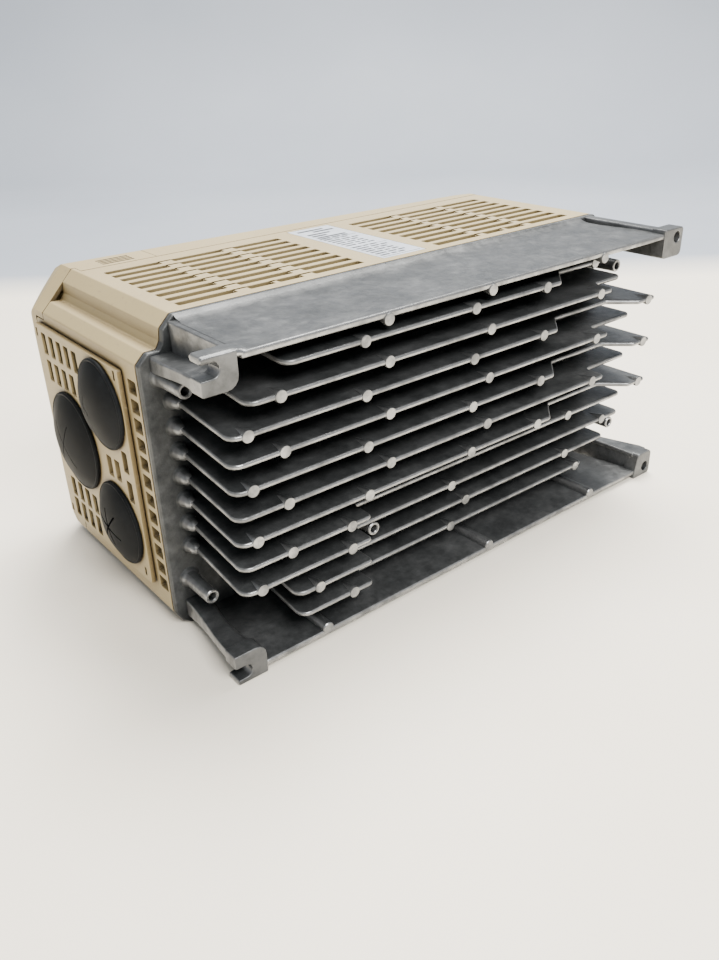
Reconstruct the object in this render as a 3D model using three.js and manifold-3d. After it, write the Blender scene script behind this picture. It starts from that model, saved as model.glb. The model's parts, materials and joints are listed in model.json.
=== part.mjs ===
// Wall-mounting variable frequency drive, lying on its side.
// +X runs along the drive from the cable end to the other end, +Y from the mounting plane to the front
// cover, and +Z across its width. Sizes are in millimetres. Builders work from the cable-end foot at x = 0,
// the mounting plane at y = 0 and the lower flange at z = 0. The group at the end moves the origin under the
// box's centre.

import * as THREE from 'three';
import { mergeVertices } from 'three/addons/utils/BufferGeometryUtils.js';
import { ConvexGeometry } from 'three/addons/geometries/ConvexGeometry.js';
import Module from 'manifold-3d';

const wasm = await Module();
wasm.setup();

// Driving dimensions
const LENGTH = 280;              // foot to foot
const WIDTH = 140;               // across the flange
const DEPTH = 177;               // mounting plane to the key tops
const FLANGE_REAR_Y = 50;        // rear face of the flange, where the fins grow from
const FLANGE_FRONT_Y = 53;       // front face of the flange, where the case sits
const PLATE_FRONT_Y = 56;        // raised plate inside the case, which carries the power parts
const SPLIT_Y = 138.5;           // where the covers meet the case
const FRONT_Y = 172;             // flat front of the covers
const CASE_END_X = 278;          // outer face of the case at the far end
const WALL = 2.6;                // moulded wall thickness
const GAP = 0.3;                 // clearance between pieces that touch
const SEAM_X = 57;               // seam between the terminal cover and the front cover
const DOME_X = -9;               // outermost point of the cable grommets

// Heat sink fins, counted from the upper side
const FIN_PITCH = 11.14;
const FIN_TOP_Z = 128.7;
const FIN_THICKNESS = 2.2;
const FIN_REAR_Y = 0.6;
const STEP_Y = 12.5;             // rear edge where a fin is cut back
const FOOT_HEIGHT = 14.5;
const FOOT_DEPTH = 8;
const SLOT_Z = 5.4;              // fixing slot's centre from the outer side of a foot
const BOLT_RADIUS = 3;

// Cable grommets, as [y, z, radius]
const grommets = [[86, 97.5, 20], [125, 67, 23.7], [87.5, 39.5, 19.8]];

// Operator panel
const PANEL = { x: [158, 252], z: [41, 99], back: 156, face: 175.6 };
const KEY_TRAVEL = 0.8;

// Materials
const finish = (color, roughness, metalness = 0) => {
  return new THREE.MeshStandardMaterial({ color, roughness, metalness });
};
const castAluminium = finish(0x9a9c9e, 0.45, 0.8);
const ivoryPlastic = finish(0xd9cfb0, 0.55);
const rubber = finish(0x2b2e31, 0.7);
const labelFoil = finish(0xd4d8dc, 0.35, 0.2);
const darkPlastic = finish(0x3a3d42, 0.5);
const blackPlastic = finish(0x1c1d20, 0.45);
const greyKey = finish(0xa9adb2, 0.5);
const redKey = finish(0xa8322c, 0.5);
const greenKey = finish(0x2f7a4a, 0.5);
const displayGlass = finish(0x1d2b22, 0.1);
const circuitBoard = finish(0x1f5a3a, 0.5);
const brass = finish(0xb08d4a, 0.35, 0.9);
const steel = finish(0x9fa3a8, 0.3, 0.9);
const sleeve = finish(0x22304a, 0.35);

// Solids
function solid(geometry) {
  const bare = geometry.index ? geometry.toNonIndexed() : geometry.clone();
  bare.deleteAttribute('normal');
  bare.deleteAttribute('uv');
  const merged = mergeVertices(bare, 1e-4);
  return new wasm.Manifold(new wasm.Mesh({
    numProp: 3,
    vertProperties: new Float32Array(merged.attributes.position.array),
    triVerts: new Uint32Array(merged.index.array),
  }));
}

function mesh(name, body, material) {
  const { numProp, vertProperties, triVerts } = body.getMesh();
  const positions = new Float32Array(vertProperties.length / numProp * 3);
  for (let i = 0; i < positions.length / 3; i++) {
    for (let k = 0; k < 3; k++) positions[3 * i + k] = vertProperties[numProp * i + k];
  }
  const geometry = new THREE.BufferGeometry();
  geometry.setAttribute('position', new THREE.BufferAttribute(positions, 3));
  geometry.setIndex(new THREE.BufferAttribute(new Uint32Array(triVerts), 1));
  geometry.computeVertexNormals();
  const node = new THREE.Mesh(geometry, material);
  node.name = name;
  return node;
}

const join = (...bodies) => bodies.flat().reduce((whole, body) => whole.add(body));
const cut = (body, ...tools) => tools.flat().reduce((rest, tool) => rest.subtract(tool), body);

function box([x0, x1], [y0, y1], [z0, z1]) {
  const geometry = new THREE.BoxGeometry(x1 - x0, y1 - y0, z1 - z0);
  geometry.translate((x0 + x1) / 2, (y0 + y1) / 2, (z0 + z1) / 2);
  return solid(geometry);
}

const hull = (points) => solid(new ConvexGeometry(points.map((p) => new THREE.Vector3(...p))));

// An outline's corners are [a, b] or [a, b, radius]; a rounded corner becomes an arc of a few points.
function outline(corners, arcSteps = 3) {
  const points = [];
  corners.forEach(([a, b, radius], i) => {
    const here = new THREE.Vector2(a, b);
    if (!radius) {
      points.push(here);
      return;
    }
    const last = new THREE.Vector2(...corners.at(i - 1));
    const next = new THREE.Vector2(...corners[(i + 1) % corners.length]);
    const back = last.sub(here).normalize();
    const on = next.sub(here).normalize();
    const reach = radius / Math.tan(back.angleTo(on) / 2);
    const start = here.clone().addScaledVector(back, reach);
    const end = here.clone().addScaledVector(on, reach);
    for (let k = 0; k <= arcSteps; k++) {
      const t = k / arcSteps;
      const pull = new THREE.Vector2().addScaledVector(start, (1 - t) ** 2);
      pull.addScaledVector(here, 2 * t * (1 - t)).addScaledVector(end, t ** 2);
      points.push(pull);
    }
  });
  return points;
}

// prism('z', (x, y) corners), prism('y', (x, z) corners) and prism('x', (y, z) corners), from one level
// to another
function prism(axis, corners, from, to, arcSteps = 3) {
  const shape = new THREE.Shape(outline(corners, arcSteps));
  const geometry = new THREE.ExtrudeGeometry(shape, { depth: to - from, bevelEnabled: false, steps: 1 });
  if (axis === 'z') geometry.translate(0, 0, from);
  if (axis === 'y') geometry.rotateX(Math.PI / 2).translate(0, to, 0);
  if (axis === 'x') {
    const turn = new THREE.Matrix4().makeBasis(
      new THREE.Vector3(0, 1, 0), new THREE.Vector3(0, 0, 1), new THREE.Vector3(1, 0, 0));
    geometry.applyMatrix4(turn).translate(from, 0, 0);
  }
  return solid(geometry);
}

// A post of radius r along an axis, centred on the other two coordinates in x, y, z order
function post(axis, [a, b], r, from, to, sides = 12) {
  const geometry = new THREE.CylinderGeometry(r, r, to - from, sides);
  const middle = (from + to) / 2;
  if (axis === 'x') geometry.rotateZ(-Math.PI / 2).translate(middle, a, b);
  if (axis === 'y') geometry.translate(a, middle, b);
  if (axis === 'z') geometry.rotateX(Math.PI / 2).translate(a, b, middle);
  return solid(geometry);
}

// A turned body from a closed [radius, level] profile, about an axis along X or Y
function turned(axis, [a, b], profile, sides) {
  const geometry = new THREE.LatheGeometry(profile.map(([r, level]) => new THREE.Vector2(r, level)), sides);
  if (axis === 'x') geometry.rotateZ(-Math.PI / 2).translate(0, a, b);
  if (axis === 'y') geometry.translate(a, 0, b);
  return solid(geometry);
}

const range = (count) => [...Array(count).keys()];
const mirrored = (z) => WIDTH - z;

// The drive's outline seen from the back, with the stepped bevel at the cable end's upper corner
const driveOutline = [
  [0.5, 8], [3.5, 2.8], [8, 0], [273, 0], [CASE_END_X, 5], [CASE_END_X, 135], [273, WIDTH],
  [17.5, WIDTH], [12.4, 135], [11.8, 130.3], [10, 127.3], [5, 127.3], [0.5, 123],
];
const cavityOutline = [
  [3.1, 9.6], [4.8, 5.6], [9, WALL], [271.9, WALL], [CASE_END_X - WALL, 6.1], [CASE_END_X - WALL, 133.9],
  [271.9, WIDTH - WALL], [19, WIDTH - WALL], [15, 133.4], [14.4, 124.4], [6.2, 124.4], [3.1, 121.6],
];

// Heat sink
const finZ = (index) => FIN_TOP_Z - FIN_PITCH * index;

// Rear edge of each kind of fin beyond its cable-end corner, as [x, y] corners
const cutBack = (x) => [[x, FIN_REAR_Y, 2], [x, STEP_Y]];
const ramp = [[186.5, FIN_REAR_Y, 2], [199, STEP_Y]];
const wing = [...ramp, [238, STEP_Y], [250, FIN_REAR_Y], [263.5, FIN_REAR_Y, 3]];
const fins = [
  { start: 34, rear: ramp, end: 236, pads: [71.6, 131.7, 176.9], low: [226.5] },
  { start: 17, rear: cutBack(227), end: 249, pads: [31.7, 83.6, 141.5, 217.2], low: [] },
  { start: 8.5, rear: wing, end: 263.5, pads: [16.4, 71.6, 131.7, 176.9, 257.8], low: [] },
  { start: 8, rear: cutBack(227), end: 261, pads: [31.7, 83.6, 141.5, 217.2], low: [] },
  { start: 8, rear: wing, end: 263.5, pads: [16.4, 71.6, 131.7, 176.9, 257.8], low: [] },
  { start: 8, rear: cutBack(227), end: 261, pads: [31.7, 83.6, 141.5, 217.2], low: [] },
  { start: 8, rear: wing, end: 263.5, pads: [16.4, 71.6, 131.7, 176.9, 257.8], low: [] },
  { start: 8, rear: cutBack(73), end: 261, pads: [31.7, 61.8], low: [216.1] },
  { start: 7.5, rear: cutBack(73), end: 261, pads: [16.4, 61.8], low: [131.5, 246] },
  { start: 32, rear: cutBack(73), end: 249.5, pads: [43.9], low: [141.3, 216.1] },
  { start: 33.5, rear: [[73, FIN_REAR_Y, 2], [73, STEP_Y]], end: 232.6, pads: [61.8], low: [131.5, 226.5] },
];

function fin({ start, rear, end, pads, low }, index) {
  const z = finZ(index);
  const root = FLANGE_REAR_Y + 0.5;
  const last = rear.at(-1);
  const corners = [[start + 4, root], [start, FIN_REAR_Y, 4], ...rear];
  if (last[1] === STEP_Y) corners.push([end, STEP_Y, 3]);
  corners.push([end, root]);
  const blade = prism('z', corners, z - FIN_THICKNESS / 2, z + FIN_THICKNESS / 2);
  const pad = (x, y) => post('y', [x, z], 2.6, y - 0.4, y + 8, 10);
  return join(blade, pads.map((x) => pad(x, FIN_REAR_Y)), low.map((x) => pad(x, STEP_Y)));
}

function screwBoss(place, rear) {
  const tube = post('y', place, 3.2, rear, FLANGE_REAR_Y + 0.5);
  return { tube, bore: post('y', place, 1.8, rear - 1, rear + 16, 8) };
}

// A foot's block, its fixing slot or hole, and the arm that carries it; upper feet mirror the lower ones
function foot(x, innerX, holeX, open, armFoot, armRoot, flip) {
  const z = flip ? mirrored : (value) => value;
  const corners = [[x, z(0)], [innerX, z(0)], [innerX, z(FOOT_HEIGHT), 4], [x, z(FOOT_HEIGHT)]];
  const block = prism('y', corners, 0, FOOT_DEPTH);
  const hole = post('y', [holeX, z(SLOT_Z)], BOLT_RADIUS, -1, FOOT_DEPTH + 20);
  const slotZ = [z(SLOT_Z) - BOLT_RADIUS, z(SLOT_Z) + BOLT_RADIUS];
  const mouth = open ? [box([x - 1, holeX], [-1, FOOT_DEPTH + 1], slotZ)] : [];
  const slab = ([x0, x1], [z0, z1], y) => [[x0, y, z(z0)], [x1, y, z(z0)], [x0, y, z(z1)], [x1, y, z(z1)]];
  const arm = hull([...slab(...armFoot, FOOT_DEPTH - 1), ...slab(...armRoot, FLANGE_REAR_Y + 0.5)]);
  return cut(join(block, arm), hole, mouth);
}

// The shelf beside a far foot's screw, from the foot to the flange
function farShelf([z0, z1]) {
  const root = FLANGE_REAR_Y + 0.5;
  const corners = [[267, 4], [LENGTH, 4], [LENGTH, FOOT_DEPTH], [273, 30], [271, root], [266, root]];
  return prism('z', corners, z0, z1);
}

function heatSink() {
  const flange = prism('y', driveOutline, FLANGE_REAR_Y, FLANGE_FRONT_Y);
  const plate = box([22, 270], [FLANGE_FRONT_Y - 1, PLATE_FRONT_Y], [7, 133]);
  const web = (z0, z1) => box([17, 268], [0.8, FLANGE_REAR_Y + 0.5], [z0, z1]);
  const pocketWall = (z0, z1) => box([15, 17.5], [FOOT_DEPTH - 1, FLANGE_REAR_Y + 0.5], [z0, z1]);
  const lugs = [
    ...[83.6, 141.5, 217.2].map((x) => post('y', [x, 134.6], 2.8, 0.4, FLANGE_REAR_Y + 0.5, 10)),
    ...[47, 147, 226].map((x) => post('y', [x, 5.4], 2.8, 0.4, FLANGE_REAR_Y + 0.5, 10)),
  ];
  const bosses = [
    screwBoss([9, 117], 30), screwBoss([9, 24], 30), screwBoss([84.5, 34], 14),
    screwBoss([264, 118], 26), screwBoss([266, 28.5], 21),
  ];
  const nearArm = (root) => [[[0, 15], [8.8, FOOT_HEIGHT]], [[5, 16], root]];
  const farArm = [[[266.5, 271.5], [2, FOOT_HEIGHT]], [[265, 270], [2, FOOT_HEIGHT]]];
  const feet = [
    foot(0, 15, 4.7, true, ...nearArm([5, 13]), false),
    foot(0, 15, 4.7, true, ...nearArm([14, 21]), true),
    foot(268, LENGTH, 275, false, ...farArm, false),
    foot(264.5, LENGTH, 275, false, ...farArm, true),
    farShelf([12, FOOT_HEIGHT]),
    farShelf([mirrored(FOOT_HEIGHT), mirrored(12)]),
  ];
  const walls = [web(2, 4.8), web(135.2, 138), pocketWall(2, 13), pocketWall(120, 138)];
  const body = join(flange, plate, walls, feet, fins.map(fin), lugs, bosses.map((b) => b.tube));
  return mesh('heat_sink', cut(body, bosses.map((b) => b.bore)), castAluminium);
}

// Case
const VENT_ROWS = 9;
const VENT_PITCH = 8.15;
const VENT_FIRST_Y = 61;
const VENT_WIDTH = 4.8;

// One block of side vents: three columns of slots, with a rib halfway along the middle slot of the rear row
function ventBlock(firstX, slotLength, columnPitch, [z0, z1]) {
  return range(VENT_ROWS).flatMap((row) => range(3).flatMap((column) => {
    const x = firstX + column * columnPitch;
    const y = VENT_FIRST_Y + row * VENT_PITCH;
    const spans = row === 0 && column === 1
      ? [[x, x + slotLength / 2 - 1.2], [x + slotLength / 2 + 1.2, x + slotLength]]
      : [[x, x + slotLength]];
    return spans.map((span) => box(span, [y - VENT_WIDTH / 2, y + VENT_WIDTH / 2], [z0, z1]));
  }));
}

// The case's wall stands higher round the cable end.
const CABLE_END_X = 19;
const CABLE_END_Y = 145.7;

function caseShell() {
  const wall = (from, to) => {
    return cut(prism('y', driveOutline, from, to), prism('y', cavityOutline, from - 1, to + 1));
  };
  const cableEnd = box([-1, CABLE_END_X], [SPLIT_Y - 1, CABLE_END_Y], [-1, WIDTH + 1]);
  const raised = wall(SPLIT_Y - 1, CABLE_END_Y).intersect(cableEnd);
  const shell = join(wall(FLANGE_FRONT_Y + GAP, SPLIT_Y), raised);
  const endTab = box([0.5, 3.1], [SPLIT_Y - 1, 155], [16.5, 119.5]);
  const cableOpening = box([-1, 4], [69, 151], [21, 114]);
  const sides = [[-1, WALL + 1], [WIDTH - WALL - 1, WIDTH + 1]];
  const sideVents = sides.flatMap((z) => [...ventBlock(25.3, 27, 33.3, z), ...ventBlock(165, 29, 33.5, z)]);
  const endVents = range(12).map((i) => box([-1, 4], [54.9, 62.1], [17.1 + 8.4 * i, 22.9 + 8.4 * i]));
  const outletVents = range(7).flatMap((row) => range(3).map((column) => {
    const y = 68 + row * 9;
    const z = 17 + column * 37;
    return box([CASE_END_X - 4, CASE_END_X + 1], [y, y + 4.5], [z, z + 32]);
  }));
  const labelRecess = box([129.7, 156.3], [57.7, 135.3], [WIDTH - 0.6, WIDTH + 1]);
  const rimClearances = grommets.map(([y, z, r]) => post('x', [y, z], r - 0.9, -1, 4, 24));
  const openings = [cableOpening, rimClearances, sideVents, endVents, outletVents, labelRecess].flat();
  return mesh('case', cut(join(shell, endTab), openings), ivoryPlastic);
}

const nameplate = () => mesh('nameplate', box([130, 156], [58, 135], [WIDTH - 0.3, WIDTH]), labelFoil);

// Cable entry plate
const PLATE_X = [-2, 0.2];

function entryPlate() {
  const corners = [[65.5, 17, 1], [154.5, 17, 1], [154.5, 113], [150.5, 118], [65.5, 118, 1]];
  const plate = prism('x', corners, ...PLATE_X);
  const holes = grommets.map(([y, z, r]) => post('x', [y, z], r - 3.5, -3, 1, 32));
  const slot = (y, z, height = 9.5, width = 3.6) =>
    box([-3, 1], [y - width / 2, y + width / 2], [z - height / 2, z + height / 2]);
  const row = (count, y, z) => range(count).map((i) => slot(y - 8.5 * i, z));
  const slots = [
    ...row(5, 143.5, 109.5), ...row(4, 143, 96.5), ...row(4, 143.4, 35.5), ...row(4, 144.2, 23.5),
    slot(90, 67), slot(82, 67.5), slot(72.5, 75), slot(72, 61),
  ];
  const clipWindows = [[151, 113.6], [69, 115], [152, 20], [70.3, 21.5]].map(([y, z]) => slot(y, z, 4, 1.4));
  return mesh('entry_plate', cut(plate, holes, slots, clipWindows), ivoryPlastic);
}

// A rubber grommet: a domed membrane on a grooved rim that grips the plate
function grommet([y, z, r], index) {
  const neck = r - 3.8;
  const crown = [[0, DOME_X], [r * 0.5, DOME_X + 0.6], [r * 0.75, DOME_X + 1.9], [r * 0.92, DOME_X + 4]];
  const outer = [...crown, [r, -2.3]];
  const rim = [[neck, -2.3], [neck, 0.5], [r - 1.5, 0.5], [r - 2.5, 2.8]];
  const inner = [[r - 7, 2.8], [r * 0.62, DOME_X + 4.4], [r * 0.4, DOME_X + 2.6], [0, DOME_X + 1.9]];
  return mesh(`cable_grommet_${index + 1}`, turned('x', [y, z], [...outer, ...rim, ...inner], 28), rubber);
}

// Covers: one convex form over the front, hollowed and parted at the seam
const coverStations = [
  { x: 0.5, side: 157.5, front: 161, low: 8, high: 123 },
  { x: 5, side: 157.5, front: 167.5, low: 2, high: 127.3 },
  { x: 10, side: 157.5, front: 170.5, low: 0, high: 132.4 },
  { x: 17.5, side: 157.5, front: FRONT_Y, low: 0, high: WIDTH },
  { x: 264, side: 146, front: FRONT_Y, low: 0, high: WIDTH },
  { x: 273, side: 145, front: 166, low: 0, high: WIDTH },
  { x: CASE_END_X, side: 143, front: 156, low: 5, high: 135 },
];
const FRONT_INSET = 13;

function coverForm(inset, rear) {
  return hull(coverStations.flatMap(({ x, side, front, low, high }) => {
    const at = THREE.MathUtils.clamp(x, coverStations[0].x + inset, CASE_END_X - inset);
    const edge = Math.max(side - inset, rear);
    const middle = (side + front) / 2 + 2;
    const levels = [[rear, 0], [edge, 0], [middle - inset, 3.5], [front - inset, FRONT_INSET]];
    return levels.flatMap(([y, shrink]) => [[at, y, low + inset + shrink], [at, y, high - inset - shrink]]);
  }));
}

// The rim that meets the case is as wide as the case's wall.
function coverShell() {
  const rim = SPLIT_Y + GAP;
  const opening = prism('y', cavityOutline, SPLIT_Y, rim + WALL);
  return cut(coverForm(0, rim), coverForm(WALL, rim + WALL - 0.1), opening);
}

function frontCover() {
  const half = box([SEAM_X + GAP, 300], [SPLIT_Y - 5, 200], [-5, WIDTH + 5]);
  const [x0, x1] = PANEL.x;
  const [z0, z1] = PANEL.z;
  const margin = GAP + 0.2;
  const tray = box([x0 - 2.5, x1 + 2.5], [PANEL.back - 2.5, FRONT_Y - 1], [z0 - 2.5, z1 + 2.5]);
  const pocket = box([x0 - margin, x1 + margin], [PANEL.back - GAP, 200], [z0 - margin, z1 + margin]);
  const socketWindow = box([198, 218], [SPLIT_Y, PANEL.back + 1], [60, 80]);
  const notchTray = box([220, 244], [161, FRONT_Y - 1], [z1, z1 + 14]);
  const fingerNotch = box([222.5, 241.5], [163.5, 200], [z1, z1 + 11.5]);
  const body = join(coverShell().intersect(half), tray, notchTray);
  return mesh('front_cover', cut(body, pocket, socketWindow, fingerNotch), ivoryPlastic);
}

function terminalCover() {
  const half = box([-10, SEAM_X], [SPLIT_Y - 5, 200], [-5, WIDTH + 5]);
  const plateNotch = box([-10, 4], [SPLIT_Y - 5, 155.3], [16, 120]);
  const cableEnd = box([-1, CABLE_END_X + GAP], [SPLIT_Y - 1, CABLE_END_Y + GAP], [-1, WIDTH + 1]);
  const grips = [0, 1, 2, 3].flatMap((i) => [[-1, 0.6], [WIDTH - 0.6, WIDTH + 1]].map((z) =>
    box([33, 46], [142.4 + 2.6 * i, 143.4 + 2.6 * i], z)));
  const shell = cut(coverShell().intersect(half), plateNotch, cableEnd, grips);
  return mesh('terminal_cover', shell, ivoryPlastic);
}

// A screw along Y with a slotted head, which is at the high end
function screw(name, [x, z], [tipY, seatY, topY], shankRadius, headRadius) {
  const shank = post('y', [x, z], shankRadius, tipY, seatY + 0.2, 8);
  const head = post('y', [x, z], headRadius, seatY, topY);
  const reach = headRadius * 0.8;
  const driverSlot = box([x - reach, x + reach], [topY - 0.7, topY + 1], [z - 0.5, z + 0.5]);
  return mesh(name, cut(join(shank, head), driverSlot), steel);
}

// Power parts on the raised plate
const BOARD_Y = 79;              // rear face of the power board
const BOARD_THICKNESS = 1.6;
const CONTROL_Y = 128;           // rear face of the control board
const boardPosts = [[66, 13], [66, 127], [262, 13], [262, 127]];

function powerModule() {
  const base = box([92, 168], [PLATE_FRONT_Y + GAP, PLATE_FRONT_Y + 3], [44, 96]);
  const body = box([97, 163], [PLATE_FRONT_Y + 2, 74], [47, 93]);
  const pin = (x, z) => box([x, x + 3], [73, 78], [z - 0.6, z + 0.6]);
  const pins = range(6).flatMap((i) => [pin(101 + 11 * i, 50), pin(101 + 11 * i, 89)]);
  const screws = [94.5, 165.5].map((x) => post('y', [x, 70], 2.2, PLATE_FRONT_Y, 62, 8));
  return mesh('power_module', cut(join(base, body, pins), screws), blackPlastic);
}

function rectifierModule() {
  const body = box([184, 224], [PLATE_FRONT_Y + GAP, 72], [52, 88]);
  const pins = range(5).map((i) => box([187 + 8 * i, 189.4 + 8 * i], [71, 78], [55, 56.2]));
  return mesh('rectifier_module', cut(join(body, pins), post('y', [204, 72], 2.2, 50, 80, 8)), blackPlastic);
}

function powerBoard() {
  const board = box([60, 268], [BOARD_Y, BOARD_Y + BOARD_THICKNESS], [8, 132]);
  const holes = boardPosts.map(([x, z]) => post('y', [x, z], 2, BOARD_Y - 1, BOARD_Y + 3, 8));
  return mesh('power_board', cut(board, holes), circuitBoard);
}

// Threaded posts carry the power board. A pillar's stud holds the board down on each post, and a screw
// holds the control board on each pillar.
const STUD_RADIUS = 1.5;
const THREAD_RADIUS = STUD_RADIUS + GAP;

function boardPost([x, z], index) {
  const body = post('y', [x, z], 3.4, PLATE_FRONT_Y + GAP, BOARD_Y - GAP, 6);
  const thread = post('y', [x, z], THREAD_RADIUS, BOARD_Y - 8, BOARD_Y, 8);
  return mesh(`power_board_post_${index + 1}`, cut(body, thread), brass);
}

function boardPillar([x, z], index) {
  const foot = BOARD_Y + BOARD_THICKNESS + GAP;
  const top = CONTROL_Y - GAP;
  const stud = post('y', [x, z], STUD_RADIUS, BOARD_Y - 6, foot + 0.2, 8);
  const body = join(post('y', [x, z], 3.4, foot, top, 6), stud);
  const thread = post('y', [x, z], THREAD_RADIUS, top - 8, top + 1, 8);
  return mesh(`control_board_pillar_${index + 1}`, cut(body, thread), brass);
}

function boardScrew(place, index) {
  const seat = CONTROL_Y + BOARD_THICKNESS + GAP;
  return screw(`board_screw_${index + 1}`, place, [CONTROL_Y - 6, seat, seat + 2.2], STUD_RADIUS, 3);
}

function capacitor(index) {
  const x = 186 + 36 * (index % 2) + 2;
  const z = 34 + 72 * Math.floor(index / 2);
  const rear = BOARD_Y + BOARD_THICKNESS + GAP;
  const profile = [[0, rear], [15.5, rear], [16, rear + 1], [16, rear + 3], [15.2, rear + 4], [16, rear + 5],
    [16, 123.5], [15, 124.5], [0, 124.5]];
  return mesh(`bus_capacitor_${index + 1}`, turned('y', [x, z], profile, 20), sleeve);
}

function currentSensor(index) {
  const x = 78 + 22 * index;
  const rear = BOARD_Y + BOARD_THICKNESS + GAP;
  const body = box([x, x + 12], [rear, rear + 24], [26, 50]);
  const window = post('x', [rear + 13, 38], 5, x - 1, x + 13, 12);
  return mesh(`current_sensor_${index + 1}`, cut(body, window), blackPlastic);
}

function chargeRelay() {
  const rear = BOARD_Y + BOARD_THICKNESS + GAP;
  const footprint = [[128, 26, 1], [156, 26, 1], [156, 44, 1], [128, 44, 1]];
  return mesh('charge_relay', prism('y', footprint, rear, rear + 25), darkPlastic);
}

function transformer() {
  const rear = BOARD_Y + BOARD_THICKNESS + GAP;
  const bobbin = box([86, 118], [rear, rear + 22], [92, 116]);
  const core = box([94, 110], [rear + 2, rear + 28], [88, 120]);
  return mesh('transformer', join(bobbin, core), darkPlastic);
}

// Terminals at the cable end
const TERMINALS = 8;
const terminalZ = (index) => 22 + 13.7 * index;

function mainTerminalBlock() {
  const body = box([26, 48], [PLATE_FRONT_Y + 10, 96], [13, 127]);
  const rails = box([26, 48], [PLATE_FRONT_Y + GAP, PLATE_FRONT_Y + 11], [13, 21]);
  const farRail = box([26, 48], [PLATE_FRONT_Y + GAP, PLATE_FRONT_Y + 11], [119, 127]);
  const bay = (z) => box([24, 43], [86, 97], [z - 5.6, z + 5.6]);
  const bays = range(TERMINALS).map((i) => bay(terminalZ(i)));
  const screwHoles = range(TERMINALS).map((i) => post('y', [34, terminalZ(i)], 2.4, 74, 90, 8));
  return mesh('main_terminal_block', cut(join(body, rails, farRail), bays, screwHoles), blackPlastic);
}

const terminalScrew = (index) =>
  screw(`terminal_screw_${index + 1}`, [34, terminalZ(index)], [75, 86 + GAP, 89.5], 2, 4);

function groundScrew(index) {
  const levels = [FLANGE_FRONT_Y + GAP, 57, 60.5];
  return screw(`ground_screw_${index + 1}`, [14, 50 + 40 * index], levels, 2.4, 4.4);
}

// Control board, its terminals and the operator's socket
function controlBoard() {
  const board = box([60, 268], [CONTROL_Y, CONTROL_Y + BOARD_THICKNESS], [8, 132]);
  const holes = boardPosts.map(([x, z]) => post('y', [x, z], 2, CONTROL_Y - 1, CONTROL_Y + 3, 8));
  return mesh('control_board', cut(board, holes), circuitBoard);
}

function controlTerminals() {
  const front = CONTROL_Y + BOARD_THICKNESS;
  const body = box([62, 74], [front + GAP, front + 10], [22, 118]);
  const entry = (z) => box([61, 66], [front + 2, front + 6], [z, z + 4]);
  const entries = range(12).map((i) => entry(26.5 + 7.6 * i));
  return mesh('control_terminal_block', cut(body, entries), greenKey);
}

function operatorSocket() {
  const front = CONTROL_Y + BOARD_THICKNESS;
  const body = box([200, 216], [front + GAP, PANEL.back - 0.8], [62, 78]);
  return mesh('operator_socket', cut(body, box([203, 213], [140, 160], [64.5, 75.5])), blackPlastic);
}

const chargeLamp = () => mesh('charge_lamp',
  turned('y', [54, 26], [[0, 97], [2.5, 97], [2.5, 102], [1.6, 103.8], [0, 104.4]], 10), redKey);

// Digital operator: keys as [name, x, z, size along X, size along Z, material]
const keys = [
  ['local_remote_key', 212, 88, 7, 10, greyKey], ['menu_key', 201, 88, 7, 10, greyKey],
  ['escape_key', 201, 70, 7, 10, greyKey], ['shift_key', 201, 52, 7, 10, greyKey],
  ['up_key', 189, 70, 8, 12, greyKey], ['down_key', 178, 70, 8, 12, greyKey],
  ['enter_key', 183.5, 52, 9, 10, greyKey],
  ['run_key', 166, 85, 9, 16, greenKey], ['stop_key', 166, 55, 9, 16, redKey],
];

function operatorCase() {
  const [x0, x1] = PANEL.x;
  const [z0, z1] = PANEL.z;
  const body = prism('y', [[x0, z0, 3], [x1, z0, 3], [x1, z1, 3], [x0, z1, 3]], PANEL.back, PANEL.face);
  const window = box([220, 246], [PANEL.face - 1.8, 200], [47, 93]);
  const around = (middle, size) => [middle - size / 2 - 0.4, middle + size / 2 + 0.4];
  const wells = keys.map(([, x, z, length, width]) => {
    return box(around(x, length), [PANEL.face - 4, 200], around(z, width));
  });
  const hollow = box([x0 + 4, x1 - 4], [PANEL.back - 1, PANEL.face - 7], [z0 + 4, z1 - 4]);
  const lampHoles = range(5).map((i) => post('y', [216.5, 54 + 8 * i], 1, PANEL.face - 2, 200, 8));
  const latchSlot = box([224, 240], [PANEL.face - 12, 200], [z1 - 3.5, z1 + 1]);
  return mesh('operator_case', cut(body, window, wells, hollow, lampHoles, latchSlot), darkPlastic);
}

function operatorDisplay() {
  const window = box([220.4, 245.6], [PANEL.face - 1.5, PANEL.face - 0.2], [47.4, 92.6]);
  return mesh('operator_display', window, displayGlass);
}

// The latch's tab shows in the front cover's finger notch, and is pressed down to free the operator.
function operatorLatch() {
  const z = PANEL.z[1];
  const profile = [[PANEL.face - 11.6, z - 1.8], [PANEL.face - 0.4, z - 1.8], [PANEL.face - 0.4, z - 0.1],
    [PANEL.face - 9, z - 0.1], [PANEL.face - 9, z + 0.2], [PANEL.face - 11.6, z - 0.6]];
  return mesh('operator_latch', prism('x', profile, 224.4, 239.6), darkPlastic);
}

function key([name, x, z, length, width, material]) {
  const half = [length / 2, width / 2];
  const signs = [[-1, -1], [1, -1], [1, 1], [-1, 1]];
  const corners = signs.map(([a, b]) => [x + a * half[0], z + b * half[1], 1.5]);
  return mesh(name, prism('y', corners, PANEL.face - 4 + GAP + KEY_TRAVEL, DEPTH, 2), material);
}

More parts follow.
